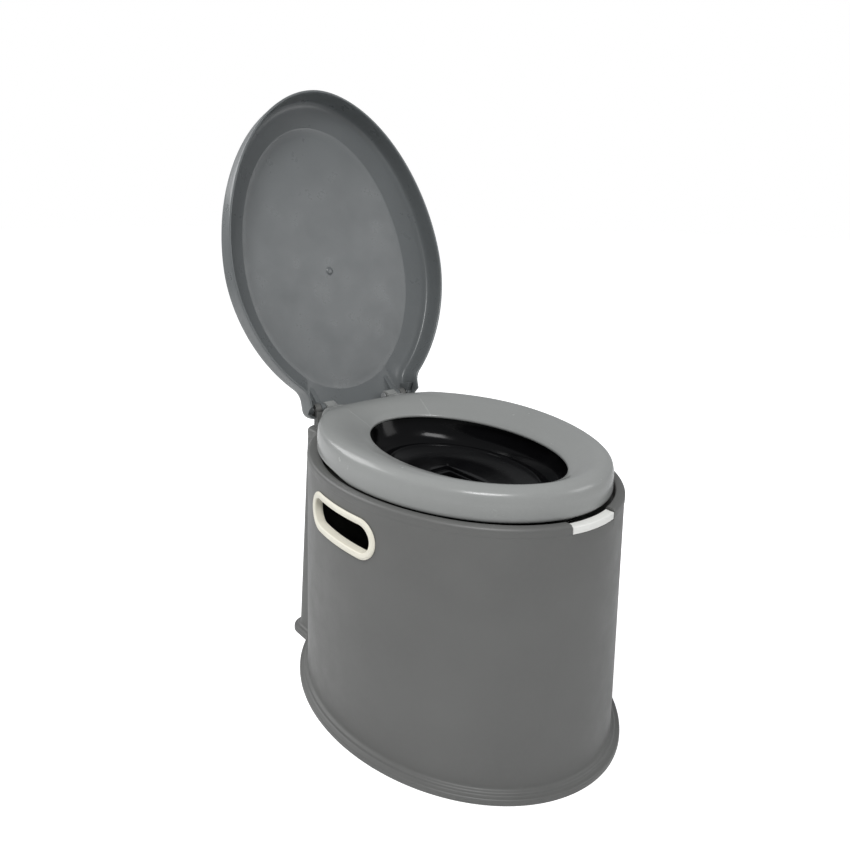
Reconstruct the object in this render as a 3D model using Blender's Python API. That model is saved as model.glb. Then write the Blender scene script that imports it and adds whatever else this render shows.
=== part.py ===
"""Portable camping toilet of the bucket type: an oval moulded shell that carries a
hinged seat ring and a hinged lid, with a removable inner bucket and splash cover.

Frame: +Z up, the front faces -Y, the hinge line runs along X at the back.
The origin is on the floor, under the middle of the whole object with the lid open.
All lengths are in metres.
"""
import bpy
import bmesh
import math
from mathutils import Matrix, Vector

for ob in list(bpy.data.objects):
    bpy.data.objects.remove(ob, do_unlink=True)

# ---------------------------------------------------------------- dimensions
# The shape is laid out about the middle of the oval; FRAME_Y moves it so that
# the origin is under the middle of the box of the whole object, lid open.
FRAME_Y = -0.0419

WALL = 0.0026              # shell wall
CLEAR = 0.0003             # gap between touching pieces

RIM_B, RIM_A = 0.1446, 0.1932      # half width, half length of the oval at the rim
RIM_Z = 0.2790                     # height of the rim crest
DRAFT = 0.0088                     # how much wider the oval is at the floor
BLOCK_W, BLOCK_Y = 0.0745, 0.1955  # rear block at the rim: half width, rear face
BLOCK_DW, BLOCK_DY = 0.0135, 0.0180  # how much the block grows towards the floor
FLANGE = 0.0098                    # foot flange beyond the wall
DECK_Z = 0.2672                    # ledge inside the rim
NOTCH_HALF, NOTCH_Z = 0.0286, 0.2690

SLOT_Y, SLOT_Z = 0.0085, 0.2378    # hand hole centre on each side
SLOT_L, SLOT_H = 0.1035, 0.0285    # hand hole inside the trim
TRIM_BAND = 0.0070

HINGE_Y, HINGE_Z = 0.1848, 0.3008  # hinge axis, along X
PIN_R = 0.0030
PIN_HOLE_R = 0.00335
LID_OPEN = math.radians(105.4)     # opening angle of the lid at rest
LID_PLANE = -0.0186                # height of the lid's rim plane over the axis, closed

SEAT_B, SEAT_A = 0.1340, 0.1810
HOLE_B, HOLE_A, HOLE_Y = 0.0800, 0.1280, -0.0105
COVER_B, COVER_A = 0.0765, 0.1100
LEDGE_Z = 0.2592                   # ledge in the bucket's mouth for the cover

# hinge stack along X, measured from the middle
SEAT_ARM = (0.0385, 0.0515)
LID_RIB = (0.0525, 0.0580)
SHELL_LUG = (0.0590, 0.0665)
LID_EAR = (0.0700, 0.0752)


# ---------------------------------------------------------------- materials
def material(name, rgb, rough, metallic=0.0):
    m = bpy.data.materials.new(name)
    m.use_nodes = True
    bsdf = m.node_tree.nodes["Principled BSDF"]
    bsdf.inputs["Base Color"].default_value = (rgb[0], rgb[1], rgb[2], 1.0)
    bsdf.inputs["Roughness"].default_value = rough
    bsdf.inputs["Metallic"].default_value = metallic
    return m


GREY = material("shell_grey", (0.13, 0.13, 0.125), 0.45)
SEAT_GREY = material("seat_grey", (0.20, 0.205, 0.20), 0.35)
LID_GREY = material("lid_grey", (0.14, 0.15, 0.16), 0.40)
BLACK = material("bucket_black", (0.006, 0.006, 0.007), 0.18)
CREAM = material("trim_cream", (0.78, 0.76, 0.68), 0.40)
WHITE = material("insert_white", (0.80, 0.80, 0.78), 0.40)
RUBBER = material("bumper_rubber", (0.02, 0.02, 0.02), 0.80)
STEEL = material("pin_steel", (0.55, 0.55, 0.56), 0.30, 1.0)


# ---------------------------------------------------------------- outlines
def egg_half(b, af, ar, yc, n, t):
    """Point of the oval: t = 0 at the back, pi at the front, x >= 0."""
    s, c = math.sin(t), math.cos(t)
    a = ar if c > 0 else af
    x = b * max(s, 0.0) ** (2 / n)
    y = yc + math.copysign(a * abs(c) ** (2 / n), c)
    return x, y


def egg_normal(b, af, ar, yc, n, x, y):
    a = ar if y > yc else af
    gx = (abs(x) / b) ** (n - 1) / b
    gy = math.copysign((abs(y - yc) / a) ** (n - 1) / a, y - yc)
    d = math.hypot(gx, gy)
    return gx / d, gy / d


def outline(b, af, w, yb, rc=0.014, rf=0.020, ar=None, yc=0.0, n=2.0, seg=(3, 3, 1, 3, 18)):
    """Closed plan outline: an oval with a rectangular block at the back, whose
    corners have the radius rc and which joins the oval with the fillet rf."""
    ar = af if ar is None else ar
    lo, hi = 0.02, math.pi / 2
    for _ in range(60):
        t = (lo + hi) / 2
        x, y = egg_half(b, af, ar, yc, n, t)
        nx, ny = egg_normal(b, af, ar, yc, n, x, y)
        if x + rf * nx < w + rf:
            lo = t
        else:
            hi = t
    t0 = (lo + hi) / 2
    x, y = egg_half(b, af, ar, yc, n, t0)
    nx, ny = egg_normal(b, af, ar, yc, n, x, y)
    fy = y + rf * ny
    a1 = math.atan2(-ny, -nx) % (2 * math.pi)
    pts = []
    for i in range(seg[0]):
        pts.append(((w - rc) * i / seg[0], yb))
    for i in range(seg[1]):
        a = math.pi / 2 * (1 - i / seg[1])
        pts.append((w - rc + rc * math.cos(a), yb - rc + rc * math.sin(a)))
    for i in range(seg[2]):
        pts.append((w, yb - rc + (fy - yb + rc) * i / seg[2]))
    for i in range(seg[3]):
        a = math.pi + (a1 - math.pi) * i / seg[3]
        pts.append((w + rf + rf * math.cos(a), fy + rf * math.sin(a)))
    for i in range(seg[4] + 1):
        t = t0 + (math.pi - t0) * i / seg[4]
        pts.append(egg_half(b, af, ar, yc, n, t))
    pts[-1] = (0.0, pts[-1][1])
    return pts + [(-px, py) for px, py in reversed(pts[1:-1])]


def oval_at(ref, b, af, ar=None, yc=0.0):
    """Plain oval with one point on each ray from its middle to the points of ref."""
    ar = af if ar is None else ar
    out = []
    for px, py in ref:
        a = ar if py > yc else af
        dx, dy = px / b, (py - yc) / a
        k = 1.0 / math.hypot(dx, dy)
        out.append((px * k, yc + (py - yc) * k))
    return out


def oval(b, a, yc, count):
    return [(b * math.sin(2 * math.pi * i / count), yc + a * math.cos(2 * math.pi * i / count))
            for i in range(count)]


def mix(p, q, k):
    return [(a[0] + (c[0] - a[0]) * k, a[1] + (c[1] - a[1]) * k) for a, c in zip(p, q)]


# ---------------------------------------------------------------- mesh helpers
def finish(bm, name, mat, smooth=35):
    bmesh.ops.recalc_face_normals(bm, faces=bm.faces)
    me = bpy.data.meshes.new(name)
    bm.to_mesh(me)
    bm.free()
    if mat:
        me.materials.append(mat)
    me.shade_smooth()
    me.set_sharp_from_angle(angle=math.radians(smooth))
    ob = bpy.data.objects.new(name, me)
    bpy.context.collection.objects.link(ob)
    return ob


def loft(rings, name, mat, closed=True, origin=(0, 0, 0)):
    """Skin a list of rings of 3D points. closed joins the last ring to the
    first; otherwise the first and last rings are filled."""
    bm = bmesh.new()
    vs = [[bm.verts.new((p[0] - origin[0], p[1] - origin[1], p[2] - origin[2])) for p in r] for r in rings]
    m, k = len(vs), len(vs[0])
    for i in range(m if closed else m - 1):
        r0, r1 = vs[i], vs[(i + 1) % m]
        for j in range(k):
            bm.faces.new((r0[j], r0[(j + 1) % k], r1[(j + 1) % k], r1[j]))
    if not closed:
        bm.faces.new(vs[0])
        bm.faces.new(list(reversed(vs[-1])))
    ob = finish(bm, name, mat)
    ob.location = (origin[0], origin[1] + FRAME_Y, origin[2])
    return ob


def ring(pts, z):
    if callable(z):
        return [(p[0], p[1], z(p[0], p[1])) for p in pts]
    return [(p[0], p[1], z) for p in pts]


def prism_x(poly, x0, x1, name, mat=None, origin=(0, 0, 0)):
    """Solid with the outline poly in (y, z), from x0 to x1."""
    bm = bmesh.new()
    a = [bm.verts.new((x0 - origin[0], y - origin[1], z - origin[2])) for y, z in poly]
    b = [bm.verts.new((x1 - origin[0], y - origin[1], z - origin[2])) for y, z in poly]
    bm.faces.new(a)
    bm.faces.new(list(reversed(b)))
    for i in range(len(a)):
        j = (i + 1) % len(a)
        bm.faces.new((a[i], b[i], b[j], a[j]))
    ob = finish(bm, name, mat)
    ob.location = (origin[0], origin[1] + FRAME_Y, origin[2])
    return ob


def disc_poly(cy, cz, r, count, start=0.0, end=2 * math.pi):
    full = abs(end - start - 2 * math.pi) < 1e-9
    m = count if full else count + 1
    return [(cy + r * math.cos(start + (end - start) * i / count),
             cz + r * math.sin(start + (end - start) * i / count)) for i in range(m)]


def cutter(ob):
    ob.hide_render = True
    ob.display_type = 'WIRE'
    return ob


def boolean(ob, tool, op):
    md = ob.modifiers.new(op.lower() + "_" + tool.name, 'BOOLEAN')
    md.operation = op
    md.solver = 'EXACT'
    md.object = tool
    cutter(tool)
    return md


# ---------------------------------------------------------------- outer shell
def wall_at(z, inset=0.0):
    k = 1 - z / RIM_Z
    return outline(RIM_B + DRAFT * k - inset, RIM_A + DRAFT * k - inset,
                   BLOCK_W + BLOCK_DW * k - inset, BLOCK_Y + BLOCK_DY * k - inset,
                   rc=max(0.014 + 0.004 * k - inset, 0.004), rf=0.020 - 0.006 * k + inset)


def flange_at(out):
    return outline(RIM_B + DRAFT + out, RIM_A + DRAFT + out, BLOCK_W + BLOCK_DW + out * 0.68,
                   BLOCK_Y + BLOCK_DY + out * 0.68, rc=0.018 + out * 0.3, rf=0.014 - out * 0.6)


top = wall_at(RIM_Z)


def recess(b, af, ar):
    return oval_at(top, b, af, ar)


rings = [
    ring(flange_at(FLANGE - 0.0016), 0.0),
    ring(flange_at(FLANGE), 0.0018),
    ring(flange_at(FLANGE), 0.0062),
    ring(flange_at(FLANGE - 0.0026), 0.0088),
    ring(flange_at(0.0016), 0.0104),
]
for z in (0.0140, 0.0700, 0.1400, 0.2100, 0.2728):
    rings.append(ring(wall_at(z), z))
rings += [
    ring(wall_at(0.2774, 0.0012), RIM_Z - 0.0015),
    ring(wall_at(RIM_Z, 0.0036), RIM_Z),
    ring(recess(0.1362, 0.1853, 0.1660), RIM_Z),
    ring(recess(0.1350, 0.1841, 0.1648), RIM_Z - 0.0014),
    ring(recess(0.1344, 0.1835, 0.1642), DECK_Z + 0.0014),
    ring(recess(0.1330, 0.1821, 0.1628), DECK_Z),
    ring(recess(0.1110, 0.1590, 0.1380), DECK_Z),
    ring(recess(0.1110, 0.1590, 0.1380), DECK_Z - 0.0026),
    ring(recess(0.1368, 0.1859, 0.1666), DECK_Z - 0.0026),
    ring(recess(0.1376, 0.1867, 0.1674), RIM_Z - 0.0026),
    ring(wall_at(RIM_Z - 0.0026, 0.0030), RIM_Z - 0.0026),
    ring(wall_at(0.2650, WALL), 0.2650),
]
for z in (0.1400, 0.0140):
    rings.append(ring(wall_at(z, WALL), z))
rings.append(ring(wall_at(0.0, WALL), 0.0))
outer_shell = loft(rings, "outer_shell", GREY)

# hinge lugs that stand on the rear platform, on stems that lean forward
for side, s in (("left", -1), ("right", 1)):
    ay, az = HINGE_Y, HINGE_Z
    poly = [(ay - 0.0110, RIM_Z - 0.0015), (ay - 0.0075, az - 0.0040)]
    poly += disc_poly(ay, az, 0.0066, 8, math.pi * 1.10, -math.pi * 0.22)
    poly += [(ay - 0.0005, az - 0.0110), (ay + 0.0010, RIM_Z - 0.0015)]
    lug = prism_x(poly, s * SHELL_LUG[0], s * SHELL_LUG[1], "lug_" + side)
    boolean(outer_shell, lug, 'UNION')
for side, s in (("left", -1), ("right", 1)):
    hole = prism_x(disc_poly(HINGE_Y, HINGE_Z, PIN_HOLE_R, 12), s * 0.0575, s * 0.0680, "lug_hole_" + side)
    boolean(outer_shell, hole, 'DIFFERENCE')

# finger notch in the front of the rim
notch = prism_x([(-0.2200, NOTCH_Z), (-0.1750, NOTCH_Z), (-0.1750, 0.2900), (-0.2200, 0.2900)],
                -NOTCH_HALF, NOTCH_HALF, "notch_cut")
boolean(outer_shell, notch, 'DIFFERENCE')


# hand holes: a slot through the wall on each side, wide enough for the trim's sleeve
def stadium(length, height, cy, cz, arc=7):
    r = height / 2
    pts = []
    for i in range(arc + 1):
        a = -math.pi / 2 + math.pi * i / arc
        pts.append((cy + length / 2 - r + r * math.cos(a), cz + r * math.sin(a)))
    for i in range(arc + 1):
        a = math.pi / 2 + math.pi * i / arc
        pts.append((cy - length / 2 + r + r * math.cos(a), cz + r * math.sin(a)))
    out = []
    for i in range(len(pts)):
        p, q = pts[i], pts[(i + 1) % len(pts)]
        out.append(p)
        if math.hypot(p[0] - q[0], p[1] - q[1]) > 0.03:
            for k in (0.25, 0.5, 0.75):
                out.append((p[0] + (q[0] - p[0]) * k, p[1] + (q[1] - p[1]) * k))
    return out


SLEEVE = 0.0018
for side, s in (("left", -1), ("right", 1)):
    g = 2 * (SLEEVE + CLEAR)
    slot = prism_x(stadium(SLOT_L + g, SLOT_H + g, SLOT_Y, SLOT_Z), s * 0.120, s * 0.170, "slot_cut_" + side)
    boolean(outer_shell, slot, 'DIFFERENCE')


def wall_x(y, z, out=0.0):
    """Half width of the shell's outer face at (y, z)."""
    k = 1 - z / RIM_Z
    b, a = RIM_B + DRAFT * k + out, RIM_A + DRAFT * k + out
    return b * math.sqrt(max(0.0, 1 - (y / a) ** 2))


for side, s in (("left", -1), ("right", 1)):
    # cross-section of the trim: (distance out from the hole's edge, height over the wall)
    section = [(0.0000, -0.0075), (0.0000, 0.0016), (0.0008, 0.0026), (TRIM_BAND - 0.0016, 0.0026),
               (TRIM_BAND, 0.0012), (TRIM_BAND, 0.0006), (SLEEVE, 0.0006), (SLEEVE, -0.0075)]
    rr = []
    for d, h in section:
        pts = stadium(SLOT_L + 2 * d, SLOT_H + 2 * d, SLOT_Y, SLOT_Z)
        rr.append([(s * (wall_x(y, z) + h), y, z) for y, z in pts])
    loft(rr, "hand_hole_trim_" + side, CREAM)

# white insert that fills the bottom of the front notch
ins = []
for i in range(9):
    x = -0.0276 + 0.0552 * i / 8
    ins.append((x, -(RIM_A + 0.0002) * math.sqrt(1 - (x / (RIM_B + 0.0002)) ** 2)))
inner = [(x, y + 0.0095) for x, y in reversed(ins)]
loop = ins + inner
rr = [ring(loop, NOTCH_Z + CLEAR), ring(loop, 0.2765)]
loft(rr, "front_notch_insert", WHITE, closed=False)

# ---------------------------------------------------------------- seat ring
SEAT_SEG = (3, 3, 1, 3, 16)


def seat_at(inset):
    return outline(SEAT_B - inset, SEAT_A - inset, 0.0680 - inset, 0.1725 - inset,
                   rc=max(0.014 - inset, 0.004), rf=0.020 + inset, seg=SEAT_SEG)


def hole_at(grow=0.0):
    return oval_at(seat_at(0.0), HOLE_B + grow, HOLE_A + grow, yc=HOLE_Y)


def crest(z, share=1.0):
    """Height z at the front; the seat's crest rises towards the back."""
    def f(x, y):
        k = min(max((y + 0.130) / 0.200, 0.0), 1.0)
        d = min(max((y - 0.136) / 0.032, 0.0), 1.0)
        return z + share * (CREST_RISE * k * k * (3 - 2 * k) - 0.0048 * d * d * (3 - 2 * d))
    return f


def skirt(z):
    """Lower edge of the seat: it hangs lower beside the rim's recess, not over the platform."""
    def f(x, y):
        k = min(max((0.045 - y) / 0.045, 0.0), 1.0)
        return z - 0.0036 * k * k * (3 - 2 * k)
    return f


CREST_RISE = 0.0034
s15 = oval_at(seat_at(0.0070), SEAT_B - 0.015, SEAT_A - 0.015, 0.1590)
hole = hole_at(0.0)
rings = [
    ring(seat_at(0.0010), skirt(0.2822)),
    ring(seat_at(0.0), skirt(0.2832)),
    ring(seat_at(0.0006), crest(0.2985, 0.5)),
    ring(seat_at(0.0026), crest(0.3040)),
    ring(seat_at(0.0070), crest(0.3074)),
    ring(s15, crest(0.3085)),
    ring(mix(s15, hole, 0.35), crest(0.3056, 0.75)),
    ring(mix(s15, hole, 0.70), crest(0.3008, 0.35)),
    ring(mix(s15, hole, 0.93), crest(0.2973, 0.08)),
    ring(hole, 0.2950),
    ring(hole_at(0.0004), 0.2930),
    ring(hole_at(0.0020), 0.2925),
    ring(mix(s15, hole, 0.90), 0.2950),
    ring(mix(s15, hole, 0.70), crest(0.2981, 0.35)),
    ring(mix(s15, hole, 0.35), crest(0.3029, 0.75)),
    ring(s15, crest(0.3058)),
    ring(seat_at(0.0090), crest(0.3046)),
    ring(seat_at(0.0052), crest(0.3010)),
    ring(seat_at(0.0034), crest(0.2975, 0.5)),
    ring(seat_at(0.0028), skirt(0.2832)),
    ring(seat_at(0.0030), skirt(0.2822)),
]
AXIS = (0.0, HINGE_Y, HINGE_Z)
seat_ring = loft(rings, "seat_ring", SEAT_GREY, origin=AXIS)
for side, s in (("left", -1), ("right", 1)):
    ay, az = HINGE_Y, HINGE_Z
    poly = [(0.1640, 0.2975), (ay - 0.0040, 0.2945)]
    poly += disc_poly(ay, az, 0.0070, 8, -math.pi * 0.62, math.pi * 0.55)
    poly += [(0.1710, 0.3055), (0.1640, 0.3070)]
    arm = prism_x(poly, s * SEAT_ARM[0], s * SEAT_ARM[1], "seat_arm_" + side)
    boolean(seat_ring, arm, 'UNION')
for side, s in (("left", -1), ("right", 1)):
    hole_cut = prism_x(disc_poly(HINGE_Y, HINGE_Z, PIN_HOLE_R, 12), s * 0.0375, s * 0.0525, "seat_hole_" + side)
    boolean(seat_ring, hole_cut, 'DIFFERENCE')

# rubber feet under the seat, which stand on the ledge inside the shell's rim,
# just outside the bucket's collar
FEET = (("seat_bumper_front_left", -0.1080, -0.0820), ("seat_bumper_front_right", 0.1080, -0.0820),
        ("seat_bumper_rear_left", -0.1100, 0.0620), ("seat_bumper_rear_right", 0.1100, 0.0620))
for name, x, y in FEET:
    rr = []
    for r, z in ((0.0034, DECK_Z + 0.0004), (0.0045, DECK_Z + 0.0014), (0.0045, 0.2996), (0.0038, 0.3004)):
        rr.append([(x + r * math.cos(2 * math.pi * i / 12), y + r * math.sin(2 * math.pi * i / 12), z)
                   for i in range(12)])
    loft(rr, name, RUBBER, closed=False, origin=(x, y, 0.2996))

# ---------------------------------------------------------------- lid
# Drawn closed: v is the distance from the hinge axis towards the front, h the
# height over the lid's rim plane.  The whole lid is then turned open.
LID_B, LID_LEN, LID_MID, LID_REAR, LID_N = 0.1470, 0.3715, 0.1650, 0.1760, 1.9
LID_NECK_W, LID_NECK_END = 0.0796, 0.0115
LID_SEG = (3, 2, 1, 3, 17)


def lid_at(inset):
    o = outline(LID_B - inset, LID_LEN - LID_MID - inset, LID_NECK_W - inset,
                -LID_MID + LID_MID + LID_NECK_END - inset, rc=max(0.012 - inset, 0.0025), rf=0.020 + inset,
                ar=LID_REAR - inset, yc=-LID_MID, n=LID_N, seg=LID_SEG)
    return o


def lid_deep(inset):
    """Inset outlines further in are plain ovals, clear of the neck."""
    ref = lid_at(0.006)
    return oval_at(ref, LID_B - inset, LID_LEN - LID_MID - inset, LID_REAR - inset + 0.004, yc=-LID_MID)


def lid_ring(pts, h):
    return [(p[0], HINGE_Y + p[1], HINGE_Z + LID_PLANE + h) for p in pts]


centre_out = oval_at(lid_at(0.006), 0.030, 0.042, 0.036, yc=-LID_MID)
outer = [
    lid_ring(lid_at(0.0004), 0.0000),
    lid_ring(lid_at(0.0), 0.0010),
    lid_ring(lid_at(0.0006), 0.0190),
    lid_ring(lid_at(0.0018), 0.0262),
    lid_ring(lid_at(0.0066), 0.0303),
    lid_ring(lid_deep(0.0330), 0.0405),
    lid_ring(centre_out, 0.0425),
]
inner = [
    lid_ring(centre_out, 0.0399),
    lid_ring(lid_deep(0.0330), 0.0379),
    lid_ring(lid_at(0.0092), 0.0283),
    lid_ring(lid_at(0.0048), 0.0262),
    lid_ring(lid_at(0.0033), 0.0200),
    lid_ring(lid_at(0.0026), 0.0000),
]
bm = bmesh.new()
vs = [[bm.verts.new((p[0], p[1] - HINGE_Y, p[2] - HINGE_Z)) for p in r] for r in outer + inner]
m, k = len(vs), len(vs[0])
cut = len(outer)
for i in range(m):
    if i == cut - 1:
        continue
    r0, r1 = vs[i], vs[(i + 1) % m]
    for j in range(k):
        bm.faces.new((r0[j], r0[(j + 1) % k], r1[(j + 1) % k], r1[j]))
bm.faces.new(vs[cut - 1])
bm.faces.new(list(reversed(vs[cut])))
bmesh.ops.triangulate(bm, faces=list(bm.faces))
lid = finish(bm, "lid", LID_GREY)
lid.location = (0, HINGE_Y + FRAME_Y, HINGE_Z)
lid.rotation_euler = (-LID_OPEN, 0, 0)


def lid_tool(poly, x0, x1, name):
    """Tool solid for the lid: poly is in (v, h), drawn closed."""
    yz = [(-v, LID_PLANE + h) for v, h in poly]
    bm = bmesh.new()
    a = [bm.verts.new((x0, y, z)) for y, z in yz]
    b = [bm.verts.new((x1, y, z)) for y, z in yz]
    bm.faces.new(a)
    bm.faces.new(list(reversed(b)))
    for i in range(len(a)):
        j = (i + 1) % len(a)
        bm.faces.new((a[i], b[i], b[j], a[j]))
    ob = finish(bm, name, None)
    ob.location = (0, HINGE_Y + FRAME_Y, HINGE_Z)
    ob.rotation_euler = (-LID_OPEN, 0, 0)
    return ob


AX = -LID_PLANE      # height h of the axis
# the back of the neck is open under its plate, between the two corners
boolean(lid, lid_tool([(-0.030, -0.010), (0.0030, -0.010), (0.0030, 0.0275), (-0.030, 0.0275)],
                      -0.0695, 0.0695, "lid_back_cut"), 'DIFFERENCE')
boolean(lid, lid_tool([(-0.030, -0.010), (0.0040, -0.010), (0.0040, 0.0), (-0.0040, 0.0125), (-0.030, 0.0125)],
                      -0.10, 0.10, "lid_corner_cut"), 'DIFFERENCE')


def arc_vh(r, a0, a1, count):
    return [(r * math.cos(a0 + (a1 - a0) * i / count), AX + r * math.sin(a0 + (a1 - a0) * i / count))
            for i in range(count + 1)]


for side, s in (("left", -1), ("right", 1)):
    # v runs to the front, so the back of the ear is at negative v
    ear = [(0.0120, 0.0050), (0.0120, 0.0330), (-0.0010, 0.0296), (-0.0040, 0.0282)]
    ear += arc_vh(0.0064, math.pi * 0.80, math.pi * 1.60, 6)
    boolean(lid, lid_tool(ear, s * LID_EAR[0], s * LID_EAR[1], "lid_ear_" + side), 'UNION')
    rib = [(0.0240, 0.0384), (0.0160, 0.0374), (-0.0010, 0.0294), (-0.0040, 0.0281)]
    rib += arc_vh(0.0066, math.pi * 0.80, math.pi * 1.83, 10)
    rib += [(0.0080, 0.0240), (0.0240, 0.0350)]
    boolean(lid, lid_tool(rib, s * LID_RIB[0], s * LID_RIB[1], "lid_rib_" + side), 'UNION')
for side, s in (("left", -1), ("right", 1)):
    boolean(lid, lid_tool([(PIN_HOLE_R * math.cos(2 * math.pi * i / 12), AX + PIN_HOLE_R * math.sin(2 * math.pi * i / 12))
                           for i in range(12)], s * 0.0500, s * 0.0750, "lid_pin_hole_" + side), 'DIFFERENCE')

# ---------------------------------------------------------------- hinge pins
for side, s in (("left", -1), ("right", 1)):
    prism_x(disc_poly(HINGE_Y, HINGE_Z, PIN_R, 12), s * 0.0372, s * 0.0746, "hinge_pin_" + side, STEEL)
    # push-on retainer on the pin's inner end
    prism_x(disc_poly(HINGE_Y, HINGE_Z, 0.0050, 12), s * 0.0352, s * 0.0369, "pin_retainer_" + side, STEEL)

# ---------------------------------------------------------------- inner bucket
NB = 40
BUCKET = [  # outside from the floor up, over the collar, and down the inside
    (0.0560, 0.0950, 0.0120), (0.0600, 0.0990, 0.0150), (0.0730, 0.1055, 0.2540), (0.0812, 0.1160, 0.2572),
    (0.0890, 0.1310, 0.2640), (0.0960, 0.1450, 0.2676), (0.1150, 0.1550, 0.2676), (0.1160, 0.1560, 0.2706),
    (0.0975, 0.1460, 0.2712), (0.0925, 0.1410, 0.2742), (0.0905, 0.1390, 0.2895), (0.0895, 0.1380, 0.2905),
    (0.0880, 0.1365, 0.2895), (0.0860, 0.1290, 0.2720), (0.0790, 0.1128, 0.2610), (0.0785, 0.1120, LEDGE_Z),
    (0.0705, 0.1030, LEDGE_Z), (0.0700, 0.1025, 0.2560), (0.0580, 0.0965, 0.0170), (0.0550, 0.0935, 0.0145),
]


rings = [ring(oval(b, a, HOLE_Y, NB), z) for b, a, z in BUCKET]
bucket = loft(rings, "inner_bucket", BLACK, closed=False)

# ---------------------------------------------------------------- splash cover
NC = 36
COVER_TOP = 0.2655
profile = [  # underside from the middle out, then the top side back to the middle
    (0.0200, 0.0480, 0.2458), (0.0440, 0.0760, 0.2560), (0.0650, 0.0960, 0.2600), (0.0690, 0.1005, 0.2616),
    (0.0690, 0.1008, 0.2638), (0.0755, 0.1092, 0.2638), (COVER_B, COVER_A, 0.2646), (0.0755, 0.1092, COVER_TOP),
    (0.0690, 0.1010, COVER_TOP), (0.0665, 0.0985, 0.2680), (0.0640, 0.0960, 0.2680), (0.0610, 0.0930, 0.2650),
    (0.0420, 0.0740, 0.2596), (0.0200, 0.0500, 0.2590),
]
rings = [ring(oval(b, a, HOLE_Y, NC), z) for b, a, z in profile]
cover = loft(rings, "splash_cover", BLACK, closed=False)
# oblong grip recess along Y, open to the top
GRIP_Y0, GRIP_Y1, GRIP_HALF, GRIP_Z = -0.0500, 0.0290, 0.0130, 0.2480
pocket = prism_x([(GRIP_Y0, GRIP_Z), (GRIP_Y1, GRIP_Z), (GRIP_Y1 + 0.002, 0.2700), (GRIP_Y0 - 0.002, 0.2700)],
                 -GRIP_HALF, GRIP_HALF, "grip_pocket_cut")
boolean(cover, pocket, 'DIFFERENCE')
GRIP_AY, GRIP_AZ = GRIP_Y1 - 0.0050, 0.2535
pin_cut = prism_x(disc_poly(GRIP_AY, GRIP_AZ, 0.0014, 8), -0.0158, 0.0158, "grip_pin_cut")
boolean(cover, pin_cut, 'DIFFERENCE')
prism_x(disc_poly(GRIP_AY, GRIP_AZ, 0.0011, 8), -0.0155, 0.0155, "cover_grip_pin", STEEL)

# fold-down grip: a flat loop that turns on the pin at its rear end
bm = bmesh.new()


def grip_loop(half, y0, y1, r):
    pts = []
    for cx, cy, a0 in ((half - r, y1 - r, 0.0), (-half + r, y1 - r, math.pi / 2),
                       (-half + r, y0 + r, math.pi), (half - r, y0 + r, 1.5 * math.pi)):
        for i in range(4):
            a = a0 + math.pi / 2 * i / 3
            pts.append((cx + r * math.cos(a), cy + r * math.sin(a)))
    return pts


out_loop = grip_loop(0.0115, GRIP_Y0 + 0.0025, GRIP_AY + 0.0034, 0.0032)
in_loop = grip_loop(0.0070, GRIP_Y0 + 0.0085, GRIP_AY - 0.0050, 0.0020)
z0, z1 = GRIP_AZ - 0.0030, GRIP_AZ + 0.0030
vo0 = [bm.verts.new((x, y - GRIP_AY, z0 - GRIP_AZ)) for x, y in out_loop]
vo1 = [bm.verts.new((x, y - GRIP_AY, z1 - GRIP_AZ)) for x, y in out_loop]
vi0 = [bm.verts.new((x, y - GRIP_AY, z0 - GRIP_AZ)) for x, y in in_loop]
vi1 = [bm.verts.new((x, y - GRIP_AY, z1 - GRIP_AZ)) for x, y in in_loop]
kk = len(vo0)
for i in range(kk):
    j = (i + 1) % kk
    bm.faces.new((vo0[i], vo0[j], vo1[j], vo1[i]))
    bm.faces.new((vi0[j], vi0[i], vi1[i], vi1[j]))
    bm.faces.new((vo1[i], vo1[j], vi1[j], vi1[i]))
    bm.faces.new((vo0[j], vo0[i], vi0[i], vi0[j]))
grip = finish(bm, "cover_grip", BLACK)
grip.location = (0, GRIP_AY + FRAME_Y, GRIP_AZ)
grip_pin_hole = prism_x(disc_poly(GRIP_AY, GRIP_AZ, 0.0014, 8), -0.0140, 0.0140, "grip_bore_cut")
boolean(grip, grip_pin_hole, 'DIFFERENCE')

# gasket under the cover's flange
seal = []
for b, a, z in ((0.0712, 0.1036, LEDGE_Z + 0.0004), (0.0755, 0.1088, LEDGE_Z + 0.0004),
                (0.0755, 0.1088, 0.2634), (0.0712, 0.1036, 0.2634)):
    seal.append(ring(oval(b, a, HOLE_Y, NC), z))
loft(seal, "cover_seal", RUBBER)
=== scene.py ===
"""Looks for the portable camping toilet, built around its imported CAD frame."""
import bpy
import bmesh
import math
from mathutils import Matrix, Vector


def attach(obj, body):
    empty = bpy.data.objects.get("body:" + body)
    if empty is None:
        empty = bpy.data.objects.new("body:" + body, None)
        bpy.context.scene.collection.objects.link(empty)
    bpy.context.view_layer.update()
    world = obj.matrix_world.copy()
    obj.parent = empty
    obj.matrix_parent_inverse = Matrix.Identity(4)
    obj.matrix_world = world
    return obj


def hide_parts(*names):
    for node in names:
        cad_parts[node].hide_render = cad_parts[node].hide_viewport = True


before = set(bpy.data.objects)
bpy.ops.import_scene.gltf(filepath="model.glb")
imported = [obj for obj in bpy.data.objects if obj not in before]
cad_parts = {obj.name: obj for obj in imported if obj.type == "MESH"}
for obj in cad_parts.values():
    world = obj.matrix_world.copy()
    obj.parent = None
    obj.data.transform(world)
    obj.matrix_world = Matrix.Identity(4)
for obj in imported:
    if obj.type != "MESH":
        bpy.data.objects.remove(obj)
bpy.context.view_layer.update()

# ------------------------------------------------------------ dimensions (metres)
FRAME_Y = -0.0419
WALL = 0.0026
CLEAR = 0.0003
RIM_B, RIM_A = 0.1446, 0.1932
RIM_Z = 0.2790
DRAFT = 0.0088
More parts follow.
